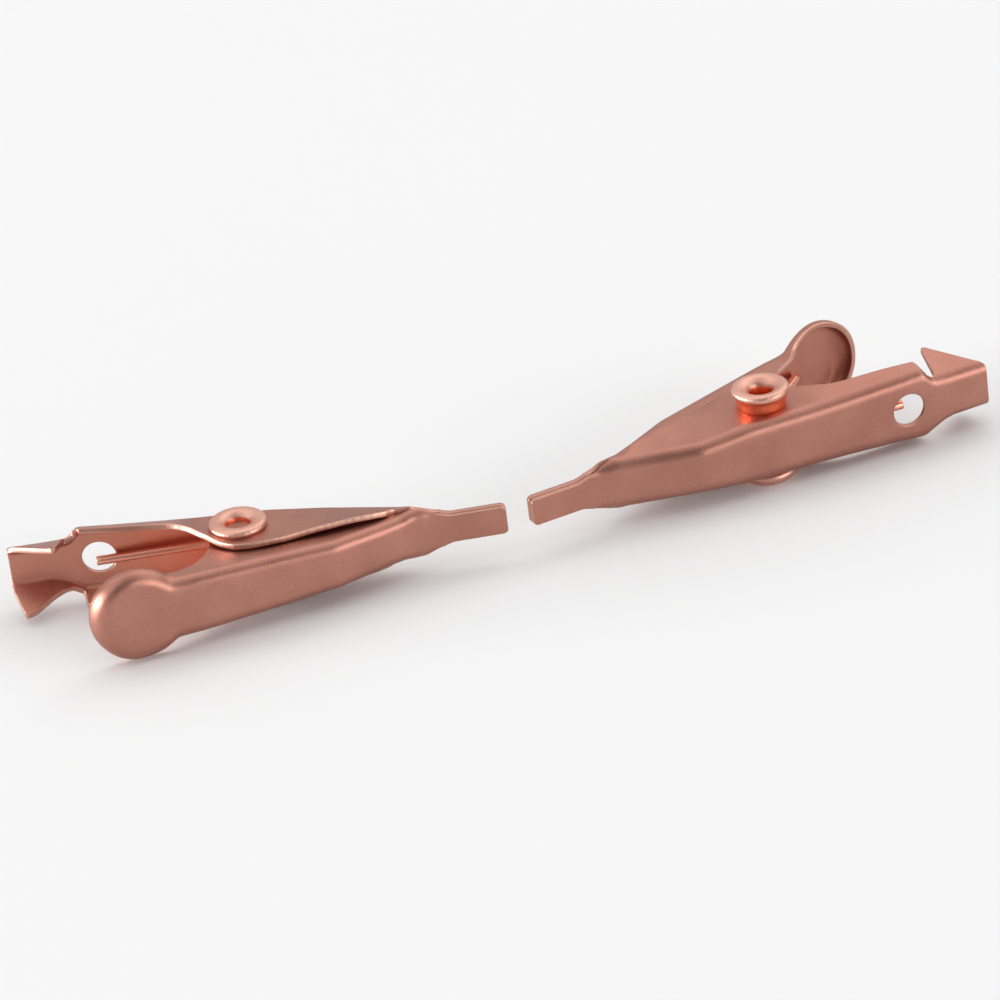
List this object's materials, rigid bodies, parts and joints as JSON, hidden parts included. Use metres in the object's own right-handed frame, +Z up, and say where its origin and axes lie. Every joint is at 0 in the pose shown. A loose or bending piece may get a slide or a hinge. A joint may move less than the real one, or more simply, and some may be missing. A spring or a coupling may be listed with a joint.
{
  "type": "alligator clip",
  "caption": "Small smooth-jaw copper alligator clips for test leads, each a sprung two-lever clamp on a tubular rivet with a wire hole and an open crimp barrel.",
  "frame": {"origin": "centre of the pair's bounding box in plan, on the plane the clips lie on", "axes": "+X from the tail of clip A to the tail of clip B, +Y away from clip B's wire lever towards clip A's, +Z up along both rivets"},
  "size_m": [0.0578, 0.0114, 0.0059],
  "materials": {
    "wire_lever_a": "satin copper",
    "pad_lever_a": "satin copper",
    "rivet_a": "satin copper",
    "spring_a": "copper-plated steel wire",
    "wire_lever_b": "satin copper",
    "pad_lever_b": "satin copper",
    "rivet_b": "satin copper",
    "spring_b": "copper-plated steel wire"
  },
  "bodies": {
    "clip_a": {"wire_lever_a": "wire_lever_a", "rivet_a": "rivet_a", "spring_a": "spring_a"},
    "clip_a_jaw": {"pad_lever_a": "pad_lever_a"},
    "clip_b": {"wire_lever_b": "wire_lever_b", "rivet_b": "rivet_b", "spring_b": "spring_b"},
    "clip_b_jaw": {"pad_lever_b": "pad_lever_b"}
  },
  "joints": [
    {"name": "clip_a_squeeze", "type": "hinge", "parent": "clip_a", "child": "clip_a_jaw", "pos_m": [-0.0163, -0.00096, 0.0027], "axis": [0, 0, -1], "range_deg": [0, 24], "stiffness_Nm_per_rad": 0.02, "springref_deg": -34.38, "deforming": ["spring_a"]},
    {"name": "clip_b_apart", "type": "slide", "parent": "clip_a", "child": "clip_b", "axis": [1, 0, 0], "range_m": [0, 0.06]},
    {"name": "clip_b_squeeze", "type": "hinge", "parent": "clip_b", "child": "clip_b_jaw", "pos_m": [0.01528, -0.00192, 0.0027], "axis": [0, 0, -1], "range_deg": [0, 24], "stiffness_Nm_per_rad": 0.02, "springref_deg": -34.38, "deforming": ["spring_b"]}
  ]
}
